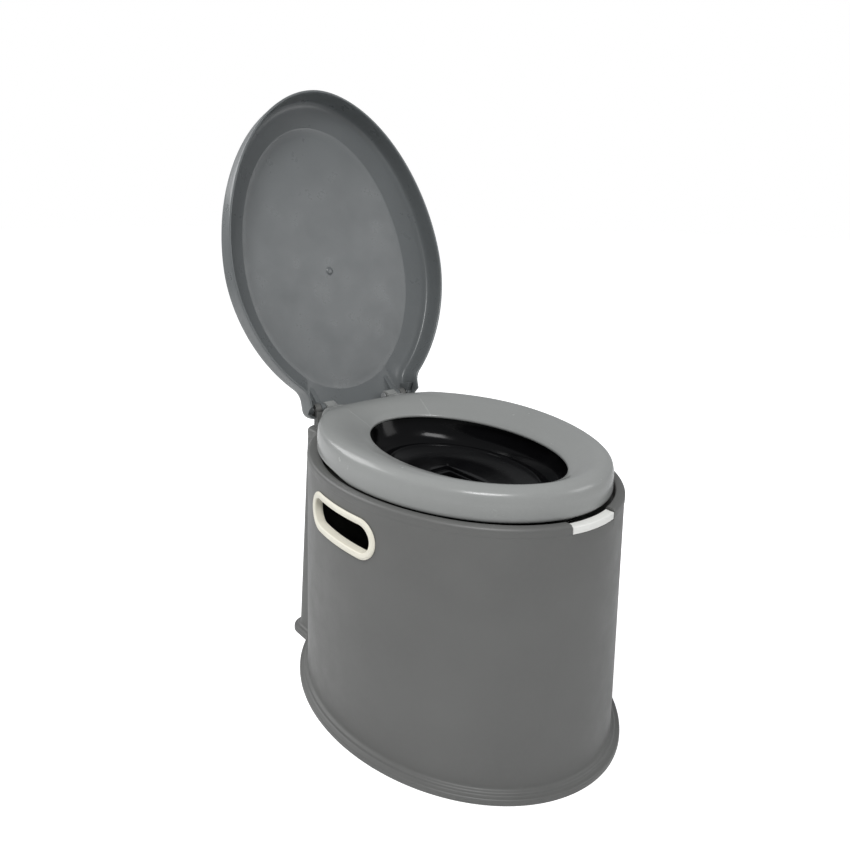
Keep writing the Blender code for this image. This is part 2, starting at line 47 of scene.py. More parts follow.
BLOCK_W, BLOCK_Y = 0.0745, 0.1955
BLOCK_DW, BLOCK_DY = 0.0135, 0.0180
FLANGE = 0.0098
DECK_Z = 0.2672
NOTCH_HALF, NOTCH_Z = 0.0286, 0.2690
SLOT_Y, SLOT_Z = 0.0085, 0.2378
SLOT_L, SLOT_H = 0.1035, 0.0285
TRIM_BAND = 0.0070
SLEEVE = 0.0018
HINGE_Y, HINGE_Z = 0.1848, 0.3008
PIN_R = 0.0030
PIN_HOLE_R = 0.00335
LID_OPEN = math.radians(105.4)
LID_PLANE = -0.0186
SEAT_B, SEAT_A = 0.1340, 0.1810
HOLE_B, HOLE_A, HOLE_Y = 0.0800, 0.1280, -0.0105
COVER_B, COVER_A = 0.0765, 0.1100
LEDGE_Z = 0.2592
SEAT_ARM = (0.0385, 0.0515)
LID_RIB = (0.0525, 0.0580)
SHELL_LUG = (0.0590, 0.0665)
LID_EAR = (0.0700, 0.0752)


# ------------------------------------------------------------ outlines
def egg_half(b, af, ar, yc, n, t):
    s, c = math.sin(t), math.cos(t)
    a = ar if c > 0 else af
    return b * max(s, 0.0) ** (2 / n), yc + math.copysign(a * abs(c) ** (2 / n), c)


def egg_normal(b, af, ar, yc, n, x, y):
    a = ar if y > yc else af
    gx = (abs(x) / b) ** (n - 1) / b
    gy = math.copysign((abs(y - yc) / a) ** (n - 1) / a, y - yc)
    d = math.hypot(gx, gy)
    return gx / d, gy / d


def outline(b, af, w, yb, rc=0.014, rf=0.020, ar=None, yc=0.0, n=2.0, seg=(8, 8, 3, 12, 96)):
    ar = af if ar is None else ar
    lo, hi = 0.02, math.pi / 2
    for _ in range(60):
        t = (lo + hi) / 2
        x, y = egg_half(b, af, ar, yc, n, t)
        nx, ny = egg_normal(b, af, ar, yc, n, x, y)
        if x + rf * nx < w + rf:
            lo = t
        else:
            hi = t
    t0 = (lo + hi) / 2
    x, y = egg_half(b, af, ar, yc, n, t0)
    nx, ny = egg_normal(b, af, ar, yc, n, x, y)
    fy = y + rf * ny
    a1 = math.atan2(-ny, -nx) % (2 * math.pi)
    pts = []
    for i in range(seg[0]):
        pts.append(((w - rc) * i / seg[0], yb))
    for i in range(seg[1]):
        a = math.pi / 2 * (1 - i / seg[1])
        pts.append((w - rc + rc * math.cos(a), yb - rc + rc * math.sin(a)))
    for i in range(seg[2]):
        pts.append((w, yb - rc + (fy - yb + rc) * i / seg[2]))
    for i in range(seg[3]):
        a = math.pi + (a1 - math.pi) * i / seg[3]
        pts.append((w + rf + rf * math.cos(a), fy + rf * math.sin(a)))
    for i in range(seg[4] + 1):
        t = t0 + (math.pi - t0) * i / seg[4]
        pts.append(egg_half(b, af, ar, yc, n, t))
    pts[-1] = (0.0, pts[-1][1])
    return pts + [(-px, py) for px, py in reversed(pts[1:-1])]


def oval_at(ref, b, af, ar=None, yc=0.0):
    ar = af if ar is None else ar
    out = []
    for px, py in ref:
        a = ar if py > yc else af
        dx, dy = px / b, (py - yc) / a
        k = 1.0 / math.hypot(dx, dy)
        out.append((px * k, yc + (py - yc) * k))
    return out


def oval(b, a, yc, count):
    return [(b * math.sin(2 * math.pi * i / count), yc + a * math.cos(2 * math.pi * i / count))
            for i in range(count)]


def mix(p, q, k):
    return [(a[0] + (c[0] - a[0]) * k, a[1] + (c[1] - a[1]) * k) for a, c in zip(p, q)]


def ring(pts, z):
    if callable(z):
        return [(p[0], p[1], z(p[0], p[1])) for p in pts]
    return [(p[0], p[1], z) for p in pts]


def spline(rings, sub, sharp=()):
    """Smooth rings through the given ones. At the indices in sharp, the surface keeps a corner."""
    m = len(rings)
    out = []

    def gap(a, b):
        k = len(a)
        return max(1e-5, sum(math.dist(a[i], b[i]) for i in range(0, k, max(1, k // 12))) / 12)

    d = [gap(rings[i], rings[i + 1]) for i in range(m - 1)]

    def tangent(i, j, side):
        if i == 0:
            return [(b - a) / d[0] for a, b in zip(rings[0][j], rings[1][j])]
        if i == m - 1:
            return [(b - a) / d[-1] for a, b in zip(rings[-2][j], rings[-1][j])]
        if i in sharp:
            q = (i - 1, i) if side < 0 else (i, i + 1)
            return [(b - a) / d[q[0]] for a, b in zip(rings[q[0]][j], rings[q[1]][j])]
        s0 = [(b - a) / d[i - 1] for a, b in zip(rings[i - 1][j], rings[i][j])]
        s1 = [(b - a) / d[i] for a, b in zip(rings[i][j], rings[i + 1][j])]
        w0, w1 = d[i], d[i - 1]
        return [(u * w0 + v * w1) / (w0 + w1) for u, v in zip(s0, s1)]

    for i in range(m - 1):
        h = d[i]
        for q in range(sub):
            t = q / sub
            h00, h10 = 2 * t ** 3 - 3 * t ** 2 + 1, t ** 3 - 2 * t ** 2 + t
            h01, h11 = -2 * t ** 3 + 3 * t ** 2, t ** 3 - t ** 2
            row = []
            for j in range(len(rings[i])):
                if q == 0:
                    row.append(rings[i][j])
                    continue
                t0, t1 = tangent(i, j, 1), tangent(i + 1, j, -1)
                row.append(tuple(h00 * a + h10 * h * u + h01 * b + h11 * h * v
                                 for a, b, u, v in zip(rings[i][j], rings[i + 1][j], t0, t1)))
            out.append(row)
    out.append(rings[-1])
    return out


# ------------------------------------------------------------ mesh helpers
def from_bmesh(bm, name, angle=32):
    bmesh.ops.recalc_face_normals(bm, faces=bm.faces)
    me = bpy.data.meshes.new(name)
    bm.to_mesh(me)
    bm.free()
    me.shade_smooth()
    me.set_sharp_from_angle(angle=math.radians(angle))
    ob = bpy.data.objects.new(name, me)
    bpy.context.collection.objects.link(ob)
    return ob


def loft(rings, name, closed=True, pole=False, angle=32, shift=True):
    """closed: the last ring joins the first. Otherwise both ends are filled, by a fan
    round a middle point where pole is set."""
    bm = bmesh.new()
    oy = FRAME_Y if shift else 0.0
    vs = [[bm.verts.new((p[0], p[1] + oy, p[2])) for p in r] for r in rings]
    m, k = len(vs), len(vs[0])
    for i in range(m if closed else m - 1):
        r0, r1 = vs[i], vs[(i + 1) % m]
        for j in range(k):
            bm.faces.new((r0[j], r0[(j + 1) % k], r1[(j + 1) % k], r1[j]))
    if not closed:
        for end in (vs[0], vs[-1]):
            if pole:
                c = Vector((0, 0, 0))
                for v in end:
                    c += v.co
                mid = bm.verts.new(c / k)
                for j in range(k):
                    bm.faces.new((end[j], end[(j + 1) % k], mid))
            else:
                bm.faces.new(end)
    return from_bmesh(bm, name, angle)


def prism_x(poly, x0, x1, name, shift=True):
    bm = bmesh.new()
    oy = FRAME_Y if shift else 0.0
    a = [bm.verts.new((x0, y + oy, z)) for y, z in poly]
    b = [bm.verts.new((x1, y + oy, z)) for y, z in poly]
    bm.faces.new(a)
    bm.faces.new(list(reversed(b)))
    for i in range(len(a)):
        j = (i + 1) % len(a)
        bm.faces.new((a[i], b[i], b[j], a[j]))
    return from_bmesh(bm, name)


def lathe_x(profile, cy, cz, name, count=48, shift=True):
    """Solid of revolution about a line along X. profile is (x, r) from one end to the other."""
    oy = FRAME_Y if shift else 0.0
    rr = [[(x, cy + oy + r * math.cos(2 * math.pi * i / count), cz + r * math.sin(2 * math.pi * i / count))
           for i in range(count)] for x, r in profile]
    return loft(rr, name, closed=False, pole=True, shift=False)


def disc_poly(cy, cz, r, count, start=0.0, end=2 * math.pi):
    full = abs(end - start - 2 * math.pi) < 1e-9
    m = count if full else count + 1
    return [(cy + r * math.cos(start + (end - start) * i / count),
             cz + r * math.sin(start + (end - start) * i / count)) for i in range(m)]


def boolean(ob, tool, op):
    """Applies the boolean, and removes the tool."""
    md = ob.modifiers.new("b", 'BOOLEAN')
    md.operation = op
    md.solver = 'EXACT'
    md.object = tool
    apply_all(ob)
    me = tool.data
    bpy.data.objects.remove(tool, do_unlink=True)
    bpy.data.meshes.remove(me)


def apply_all(ob):
    bpy.context.view_layer.update()
    dg = bpy.context.evaluated_depsgraph_get()
    me = bpy.data.meshes.new_from_object(ob.evaluated_get(dg), preserve_all_data_layers=True, depsgraph=dg)
    old = ob.data
    ob.modifiers.clear()
    ob.data = me
    bpy.data.meshes.remove(old)


def soften(ob, width, segments=2, angle=38):
    """Rounds the sharp edges for real, then shades the rest smooth."""
    bm = bmesh.new()
    bm.from_mesh(ob.data)
    bmesh.ops.remove_doubles(bm, verts=bm.verts, dist=2e-6)
    bmesh.ops.dissolve_degenerate(bm, edges=bm.edges, dist=2e-6)
    bm.to_mesh(ob.data)
    bm.free()
    md = ob.modifiers.new("soft_edges", 'BEVEL')
    md.width = width
    md.segments = segments
    md.limit_method = 'ANGLE'
    md.angle_limit = math.radians(angle)
    md.use_clamp_overlap = True
    md.miter_outer = 'MITER_ARC'
    md.harden_normals = False
    apply_all(ob)
    ob.data.shade_smooth()
    ob.data.set_sharp_from_angle(angle=math.radians(48))
    return ob


# ------------------------------------------------------------ materials
def nodes_of(name):
    m = bpy.data.materials.new(name)
    m.use_nodes = True
    nt = m.node_tree
    return m, nt, nt.nodes["Principled BSDF"]


def noise(nt, coord, scale, detail=3.0, rough=0.5):
    n = nt.nodes.new("ShaderNodeTexNoise")
    n.inputs["Scale"].default_value = scale
    n.inputs["Detail"].default_value = detail
    n.inputs["Roughness"].default_value = rough
    nt.links.new(coord, n.inputs["Vector"])
    return n.outputs["Fac"]


def remap(nt, fac, a, b, lo=0.3, hi=0.7):
    r = nt.nodes.new("ShaderNodeMapRange")
    r.inputs["From Min"].default_value = lo
    r.inputs["From Max"].default_value = hi
    r.inputs["To Min"].default_value = a
    r.inputs["To Max"].default_value = b
    nt.links.new(fac, r.inputs["Value"])
    return r.outputs["Result"]


def math_node(nt, op, a, b):
    n = nt.nodes.new("ShaderNodeMath")
    n.operation = op
    n.use_clamp = False
    for i, v in enumerate((a, b)):
        if isinstance(v, (int, float)):
            n.inputs[i].default_value = v
        else:
            nt.links.new(v, n.inputs[i])
    return n.outputs[0]


def mix_rgb(nt, fac, a, b, mode='MIX'):
    n = nt.nodes.new("ShaderNodeMix")
    n.data_type = 'RGBA'
    n.blend_type = mode
    if isinstance(fac, (int, float)):
        n.inputs[0].default_value = fac
    else:
        nt.links.new(fac, n.inputs[0])
    for i, v in ((6, a), (7, b)):
        if isinstance(v, tuple):
            n.inputs[i].default_value = (v[0], v[1], v[2], 1.0)
        else:
            nt.links.new(v, n.inputs[i])
    return n.outputs[2]


def edge_mask(nt, radius, lo=0.02, hi=0.22):
    """1 along rounded and sharp edges, 0 on the flats."""
    bev = nt.nodes.new("ShaderNodeBevel")
    bev.samples = 6
    bev.inputs["Radius"].default_value = radius
    geo = nt.nodes.new("ShaderNodeNewGeometry")
    dot = nt.nodes.new("ShaderNodeVectorMath")
    dot.operation = 'DOT_PRODUCT'
    nt.links.new(bev.outputs["Normal"], dot.inputs[0])
    nt.links.new(geo.outputs["Normal"], dot.inputs[1])
    inv = math_node(nt, 'SUBTRACT', 1.0, dot.outputs["Value"])
    return remap(nt, inv, 0.0, 1.0, lo, hi)


def plastic(name, rgb, rough, vary=0.05, grain=0.12, grain_scale=1400.0, edge=0.10, rough_vary=0.06,
            specular=0.5, scuff=0.0, gloss_patches=0.0, grain_depth=0.00008, mottle=9.0):
    m, nt, bsdf = nodes_of(name)
    tc = nt.nodes.new("ShaderNodeTexCoord").outputs["Object"]
    dark = tuple(c * (1 - vary) for c in rgb)
    light = tuple(min(1.0, c * (1 + vary)) for c in rgb)
    big = noise(nt, tc, mottle, 2.0, 0.55)
    fine = noise(nt, tc, 230.0, 4.0, 0.6)
    col = mix_rgb(nt, remap(nt, big, 0.0, 1.0, 0.32, 0.68), dark, light)
    speck = tuple(c * (1 + vary * 1.2) for c in rgb)
    col = mix_rgb(nt, math_node(nt, 'MULTIPLY', remap(nt, fine, 0.0, 1.0, 0.45, 0.75), 0.35), col, speck)
    mask = edge_mask(nt, 0.0011)
    worn = math_node(nt, 'MULTIPLY', mask, remap(nt, noise(nt, tc, 60.0, 4.0, 0.7), 0.25, 1.0, 0.35, 0.65))
    worn = math_node(nt, 'MULTIPLY', worn, edge * 4)
    col = mix_rgb(nt, worn, col, tuple(min(1.0, c * 1.55 + 0.02) for c in rgb))
    nt.links.new(col, bsdf.inputs["Base Color"])
    r = remap(nt, noise(nt, tc, 34.0, 5.0, 0.65), rough - rough_vary, rough + rough_vary, 0.3, 0.7)
    if scuff:
        mp = nt.nodes.new("ShaderNodeMapping")
        mp.inputs["Scale"].default_value = (1.0, 1.0, 9.0)
        mp.inputs["Rotation"].default_value = (0.3, 0.5, 0.2)
        nt.links.new(tc, mp.inputs["Vector"])
        sc = noise(nt, mp.outputs["Vector"], 95.0, 2.0, 0.7)
        r = math_node(nt, 'ADD', r, remap(nt, sc, 0.0, scuff, 0.66, 0.74))
    r = math_node(nt, 'SUBTRACT', r, math_node(nt, 'MULTIPLY', mask, 0.06))
    nt.links.new(r, bsdf.inputs["Roughness"])
    bsdf.inputs["Specular IOR Level"].default_value = specular
    bump = nt.nodes.new("ShaderNodeBump")
    bump.inputs["Strength"].default_value = grain
    bump.inputs["Distance"].default_value = grain_depth
    g = noise(nt, tc, grain_scale, 2.0, 0.5)
    wave = noise(nt, tc, 26.0, 1.0, 0.4)
    height = math_node(nt, 'ADD', g, math_node(nt, 'MULTIPLY', wave, 2.5))
    nt.links.new(height, bump.inputs["Height"])
    nt.links.new(bump.outputs["Normal"], bsdf.inputs["Normal"])
    return m


GREY = plastic("shell_plastic", (0.122, 0.123, 0.119), 0.44, vary=0.05, grain=0.30, edge=0.16, scuff=0.05)
SEAT_GREY = plastic("seat_plastic", (0.296, 0.303, 0.296), 0.23, vary=0.04, grain=0.06, edge=0.10, rough_vary=0.05)
LID_GREY = plastic("lid_plastic", (0.122, 0.131, 0.134), 0.31, vary=0.05, grain=0.07, edge=0.14, scuff=0.05)
BLACK = plastic("bucket_plastic", (0.0035, 0.0035, 0.0040), 0.17, vary=0.12, grain=0.10, edge=0.05,
                rough_vary=0.05, grain_scale=900.0, specular=0.16)
CREAM = plastic("trim_plastic", (0.80, 0.77, 0.66), 0.38, vary=0.03, grain=0.12, edge=0.03)
WHITE = plastic("insert_plastic", (0.82, 0.82, 0.79), 0.40, vary=0.02, grain=0.12, edge=0.03)
RUBBER = plastic("rubber", (0.018, 0.018, 0.018), 0.72, vary=0.15, grain=0.5, edge=0.08, grain_scale=700.0)


def steel(name):
    m, nt, bsdf = nodes_of(name)
    tc = nt.nodes.new("ShaderNodeTexCoord").outputs["Object"]
    mp = nt.nodes.new("ShaderNodeMapping")
    mp.inputs["Scale"].default_value = (40.0, 1.0, 1.0)
    nt.links.new(tc, mp.inputs["Vector"])
    turn = noise(nt, mp.outputs["Vector"], 160.0, 4.0, 0.6)
    col = mix_rgb(nt, remap(nt, turn, 0.0, 1.0, 0.3, 0.7), (0.47, 0.47, 0.48), (0.62, 0.62, 0.62))
    nt.links.new(col, bsdf.inputs["Base Color"])
    nt.links.new(remap(nt, turn, 0.24, 0.40, 0.3, 0.7), bsdf.inputs["Roughness"])
    bsdf.inputs["Metallic"].default_value = 1.0
    bump = nt.nodes.new("ShaderNodeBump")
    bump.inputs["Strength"].default_value = 0.2
    bump.inputs["Distance"].default_value = 0.00005
    nt.links.new(turn, bump.inputs["Height"])
    nt.links.new(bump.outputs["Normal"], bsdf.inputs["Normal"])
    return m


STEEL = steel("pin_metal")


def place(ob, body, node, mat):
    ob.data.materials.clear()
    ob.data.materials.append(mat)
    for p in ob.data.polygons:
        p.material_index = 0
    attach(ob, body)
    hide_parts(node)
    return ob


# ------------------------------------------------------------ outer shell
def shell_line(out, z):
    """Outline of the shell's outer face at height z, moved outwards by out."""
    k = 1 - z / RIM_Z
    grow = out * (0.68 if out > 0 else 1.0)
    rc = 0.014 + 0.004 * k + (0.3 * out if out > 0 else out)
    rf = 0.020 - 0.006 * k - (0.6 * out if out > 0 else out)
    return ring(outline(RIM_B + DRAFT * k + out, RIM_A + DRAFT * k + out, BLOCK_W + BLOCK_DW * k + grow,
                        BLOCK_Y + BLOCK_DY * k + grow, rc=max(rc, 0.004), rf=rf), z)


TOP = [(p[0], p[1]) for p in shell_line(0.0, RIM_Z)]


def recess(b, af, ar, z):
    return ring(oval_at(TOP, b, af, ar), z)


def arc(cx, cz, r, a0, a1, count):
    return [(cx + r * math.cos(math.radians(a0 + (a1 - a0) * i / count)),
             cz + r * math.sin(math.radians(a0 + (a1 - a0) * i / count))) for i in range(count + 1)]


path = [(-WALL, 0.0), (FLANGE - 0.0012, 0.0)]
path += arc(FLANGE - 0.0012, 0.0012, 0.0012, -60, 0, 3)
path += arc(FLANGE - 0.0020, 0.0050, 0.0020, 0, 80, 5)
path += [(0.0052, 0.0074), (0.0046, 0.0080)]
path += [(0.0042, 0.0092), (0.0034, 0.0100), (0.0024, 0.0103), (0.0012, 0.0107), (0.0004, 0.0117), (0.0, 0.0135)]
path += [(0.0, 0.0135 + (0.2690 - 0.0135) * i / 22) for i in range(1, 23)]
path += [(0.0001, 0.2697), (0.0004, 0.2702), (0.0005, 0.2710), (0.0005, 0.2745)]
path += arc(0.0005 - 0.0036, 0.2754, 0.0036, 8, 90, 8)
rings = [shell_line(o, z) for o, z in path]
rings += [recess(0.1366, 0.1857, 0.1664, RIM_Z)]
rings += [recess(0.1366 - d, 0.1857 - d, 0.1664 - d, z) for d, z in
          ((0.0008, RIM_Z - 0.0003), (0.0014, RIM_Z - 0.0010), (0.0018, RIM_Z - 0.0022), (0.0022, DECK_Z + 0.0020),
           (0.0025, DECK_Z + 0.0009), (0.0032, DECK_Z + 0.0002), (0.0042, DECK_Z))]
rings += [recess(0.1120, 0.1600, 0.1390, DECK_Z), recess(0.1112, 0.1592, 0.1382, DECK_Z - 0.0006),
          recess(0.1110, 0.1590, 0.1380, DECK_Z - 0.0020), recess(0.1116, 0.1596, 0.1386, DECK_Z - 0.0026),
          recess(0.1368, 0.1859, 0.1666, DECK_Z - 0.0026), recess(0.1376, 0.1867, 0.1674, RIM_Z - 0.0026)]
rings += [shell_line(o, z) for o, z in ((-0.0034, RIM_Z - 0.0026), (-WALL, RIM_Z - 0.0050))]
rings += [shell_line(-WALL, 0.2690 + (0.0135 - 0.2690) * i / 8) for i in range(9)]
shell = loft(rings, "shell_body")

def block(profile_a, profile_b):
    """Solid between two profiles of 3D points."""
    bm = bmesh.new()
    va = [bm.verts.new(q) for q in profile_a]
    vb = [bm.verts.new(q) for q in profile_b]
    bm.faces.new(va)
    bm.faces.new(list(reversed(vb)))
    for i in range(len(va)):
        j = (i + 1) % len(va)
        bm.faces.new((va[i], vb[i], vb[j], va[j]))
    return from_bmesh(bm, "t")


for s in (-1, 1):
    ay, az = HINGE_Y, HINGE_Z
    poly = [(ay - 0.0110, RIM_Z - 0.0015), (ay - 0.0095, RIM_Z + 0.0080), (ay - 0.0075, az - 0.0040)]
    poly += disc_poly(ay, az, 0.0066, 30, math.pi * 1.10, -math.pi * 0.22)
    poly += [(ay + 0.0008, az - 0.0090), (ay - 0.0005, az - 0.0110), (ay - 0.0002, az - 0.0160), (ay + 0.0010, RIM_Z - 0.0015)]
    boolean(shell, prism_x(poly, s * SHELL_LUG[0], s * SHELL_LUG[1], "t"), 'UNION')
for s in (-1, 1):
    boolean(shell, prism_x(disc_poly(HINGE_Y, HINGE_Z, PIN_HOLE_R, 32), s * 0.0575, s * 0.0680, "t"), 'DIFFERENCE')
boolean(shell, prism_x([(-0.2200, NOTCH_Z), (-0.1750, NOTCH_Z), (-0.1750, 0.2900), (-0.2200, 0.2900)],
                       -NOTCH_HALF, NOTCH_HALF, "t"), 'DIFFERENCE')


def stadium(length, height, cy, cz, arcs=20, straight=24):
    r = height / 2
    pts = []
    for i in range(arcs):
        a = -math.pi / 2 + math.pi * i / arcs
        pts.append((cy + length / 2 - r + r * math.cos(a), cz + r * math.sin(a)))
    for i in range(straight):
        pts.append((cy + (length / 2 - r) * (1 - 2 * i / straight), cz + r))
    for i in range(arcs):
        a = math.pi / 2 + math.pi * i / arcs
        pts.append((cy - length / 2 + r + r * math.cos(a), cz + r * math.sin(a)))
    for i in range(straight):
        pts.append((cy - (length / 2 - r) * (1 - 2 * i / straight), cz - r))
    return pts


for s in (-1, 1):
    g = 2 * (SLEEVE + CLEAR)
    boolean(shell, prism_x(stadium(SLOT_L + g, SLOT_H + g, SLOT_Y, SLOT_Z), s * 0.120, s * 0.170, "t"), 'DIFFERENCE')
soften(shell, 0.0005)
place(shell, "shell", "outer_shell", GREY)


def wall_x(y, z):
    k = 1 - z / RIM_Z
    return (RIM_B + DRAFT * k) * math.sqrt(max(0.0, 1 - (y / (RIM_A + DRAFT * k)) ** 2))


section = [(0.0000, -0.0072), (0.0000, 0.0008)]
section += [(0.0018 - 0.0018 * math.cos(math.radians(a)), 0.0008 + 0.0018 * math.sin(math.radians(a)))
            for a in (15, 30, 45, 60, 75, 90)]
section += [(0.0047, 0.0030), (TRIM_BAND - 0.0018, 0.0026)]
section += [(TRIM_BAND - 0.0018 + 0.0018 * math.sin(math.radians(a)), 0.0008 + 0.0018 * math.cos(math.radians(a)))
            for a in (15, 30, 45, 60, 75, 90)]
section += [(TRIM_BAND, 0.0005), (TRIM_BAND - 0.0004, 0.0003), (SLEEVE, 0.0003), (SLEEVE, -0.0072), (0.0014, -0.0075),
            (0.0004, -0.0075)]
for side, s in (("left", -1), ("right", 1)):
    rr = []
    for d, h in section:
        pts = stadium(SLOT_L + 2 * d, SLOT_H + 2 * d, SLOT_Y, SLOT_Z)
        rr.append([(s * (wall_x(y, z) + h), y, z) for y, z in pts])
    ob = loft(rr, "hand_trim_" + side)
    place(ob, "shell", "hand_hole_trim_" + side, CREAM)


def insert_loop(inset, count=48):
    b, a = RIM_B + 0.0002 - inset, RIM_A + 0.0002 - inset
    half = 0.0276 - inset
    front = []
    for i in range(count + 1):
        x = -half + 2 * half * i / count
        front.append((x, -a * math.sqrt(1 - (x / b) ** 2)))
    back = [(x, y + 0.0095 - 2 * inset) for x, y in reversed(front)]
    return front + back


rr = [ring(insert_loop(0.0004), NOTCH_Z + CLEAR), ring(insert_loop(0.0), NOTCH_Z + CLEAR + 0.0004)]
rr += [ring(insert_loop(0.0009 - 0.0009 * math.cos(math.radians(a))), 0.2765 - 0.0009 + 0.0009 * math.sin(math.radians(a)))
       for a in (0, 18, 36, 54, 72, 90)]
ob = loft(rr, "notch_insert", closed=False)
place(ob, "shell", "front_notch_insert", WHITE)

# ------------------------------------------------------------ seat ring


def seat_at(inset):
    return outline(SEAT_B - inset, SEAT_A - inset, 0.0680 - inset, 0.1725 - inset,
                   rc=max(0.014 - inset, 0.004), rf=0.020 + inset)


def hole_at(grow=0.0):
    return oval_at(seat_at(0.0), HOLE_B + grow, HOLE_A + grow, yc=HOLE_Y)


def crest(z, share=1.0):
    def f(x, y):
        k = min(max((y + 0.130) / 0.200, 0.0), 1.0)
        d = min(max((y - 0.136) / 0.032, 0.0), 1.0)
        return z + share * (CREST_RISE * k * k * (3 - 2 * k) - 0.0048 * d * d * (3 - 2 * d))
    return f


def skirt(z):
    """Lower edge of the seat: it hangs lower beside the rim's recess, not over the platform."""
    def f(x, y):
        k = min(max((0.045 - y) / 0.045, 0.0), 1.0)
        return z - 0.0036 * k * k * (3 - 2 * k)
    return f


CREST_RISE = 0.0034
s15 = oval_at(seat_at(0.0070), SEAT_B - 0.015, SEAT_A - 0.015, 0.1590)
hole = hole_at(0.0)
outer = [
    ring(seat_at(0.0010), skirt(0.2822)),
    ring(seat_at(0.0001), skirt(0.2829)),
    ring(seat_at(0.0000), 0.2860),
    ring(seat_at(0.0006), crest(0.2985, 0.5)),
    ring(seat_at(0.0026), crest(0.3040)),
    ring(seat_at(0.0070), crest(0.3074)),
    ring(s15, crest(0.3085)),
    ring(mix(s15, hole, 0.35), crest(0.3056, 0.75)),
    ring(mix(s15, hole, 0.70), crest(0.3008, 0.35)),
    ring(mix(s15, hole, 0.93), crest(0.2973, 0.08)),
    ring(hole_at(0.0002), 0.2955),
    ring(hole_at(0.0000), 0.2944),
]
outer = spline(outer, 4)
inner = [
    ring(hole_at(0.0003), 0.2933), ring(hole_at(0.0010), 0.2926), ring(hole_at(0.0020), 0.2925),
    ring(mix(s15, hole, 0.90), 0.2950),
    ring(mix(s15, hole, 0.70), crest(0.2981, 0.35)),
    ring(mix(s15, hole, 0.35), crest(0.3029, 0.75)),
    ring(s15, crest(0.3058)),
    ring(seat_at(0.0090), crest(0.3046)),
    ring(seat_at(0.0052), crest(0.3010)),
    ring(seat_at(0.0034), crest(0.2975, 0.5)),
    ring(seat_at(0.0028), 0.2860),
    ring(seat_at(0.0028), skirt(0.2829)),
    ring(seat_at(0.0020), skirt(0.2822)),
]
seat = loft(outer + inner, "seat_body")
for s in (-1, 1):
    ay, az = HINGE_Y, HINGE_Z
    poly = [(0.1620, 0.2980), (ay - 0.0080, 0.2958), (ay - 0.0040, 0.2943)]
    poly += disc_poly(ay, az, 0.0070, 28, -math.pi * 0.62, math.pi * 0.55)
    poly += [(0.1760, 0.3052), (0.1710, 0.3060), (0.1620, 0.3076)]
    boolean(seat, prism_x(poly, s * SEAT_ARM[0], s * SEAT_ARM[1], "t"), 'UNION')
for s in (-1, 1):
    boolean(seat, prism_x(disc_poly(HINGE_Y, HINGE_Z, PIN_HOLE_R, 32), s * 0.0375, s * 0.0525, "t"), 'DIFFERENCE')
soften(seat, 0.0006)
place(seat, "seat", "seat_ring", SEAT_GREY)

FEET = (("seat_bumper_front_left", -0.1080, -0.0820), ("seat_bumper_front_right", 0.1080, -0.0820),
        ("seat_bumper_rear_left", -0.1100, 0.0620), ("seat_bumper_rear_right", 0.1100, 0.0620))
for name, x, y in FEET:
    rr = []
    for r, z in ((0.0026, DECK_Z + 0.0004), (0.0036, DECK_Z + 0.0006), (0.0043, DECK_Z + 0.0011),
                 (0.0045, DECK_Z + 0.0018), (0.0045, 0.2996), (0.0042, 0.3002), (0.0036, 0.3004)):
        rr.append([(x + r * math.cos(2 * math.pi * i / 40), y + r * math.sin(2 * math.pi * i / 40), z)
                   for i in range(40)])
    ob = loft(rr, name.replace("bumper", "foot"), closed=False, pole=True)
    place(ob, "seat", name, RUBBER)

# ------------------------------------------------------------ lid
LID_B, LID_LEN, LID_MID, LID_REAR, LID_N = 0.1470, 0.3715, 0.1650, 0.1760, 1.9
LID_NECK_W, LID_NECK_END = 0.0796, 0.0115
AX = -LID_PLANE
OPEN = Matrix.Translation((0, HINGE_Y + FRAME_Y, HINGE_Z)) @ Matrix.Rotation(-LID_OPEN, 4, 'X')


def lid_at(inset):
    return outline(LID_B - inset, LID_LEN - LID_MID - inset, LID_NECK_W - inset,
                   LID_NECK_END - inset, rc=max(0.012 - inset, 0.0025), rf=0.020 + inset,
                   ar=LID_REAR - inset, yc=-LID_MID, n=LID_N, seg=(8, 6, 3, 14, 100))


LID_REF = lid_at(0.006)


def lid_deep(inset):
    return oval_at(LID_REF, LID_B - inset, LID_LEN - LID_MID - inset, LID_REAR - inset + 0.004, yc=-LID_MID)


def lid_ring(pts, h):
    return [(p[0], p[1], LID_PLANE + h) for p in pts]


centre = oval_at(LID_REF, 0.030, 0.042, 0.036, yc=-LID_MID)
tiny = oval_at(LID_REF, 0.006, 0.008, 0.008, yc=-LID_MID)
deep = lid_deep(0.033)
edge = lid_at(0.0092)
shoulder = lid_at(0.0066)
top_side = [
    lid_ring(lid_at(0.0004), 0.0000), lid_ring(lid_at(0.0001), 0.0004), lid_ring(lid_at(0.0), 0.0012),
    lid_ring(lid_at(0.0002), 0.0100), lid_ring(lid_at(0.0006), 0.0190), lid_ring(lid_at(0.0011), 0.0236),
    lid_ring(lid_at(0.0026), 0.0276), lid_ring(lid_at(0.0066), 0.0303),
    lid_ring(mix(shoulder, deep, 0.3), 0.0335), lid_ring(mix(shoulder, deep, 0.6), 0.0366),
    lid_ring(mix(shoulder, deep, 0.92), 0.0399), lid_ring(deep, 0.0405),
    lid_ring(mix(deep, centre, 0.10), 0.0408), lid_ring(mix(deep, centre, 0.6), 0.0418),
    lid_ring(centre, 0.0425), lid_ring(tiny, 0.0426)]
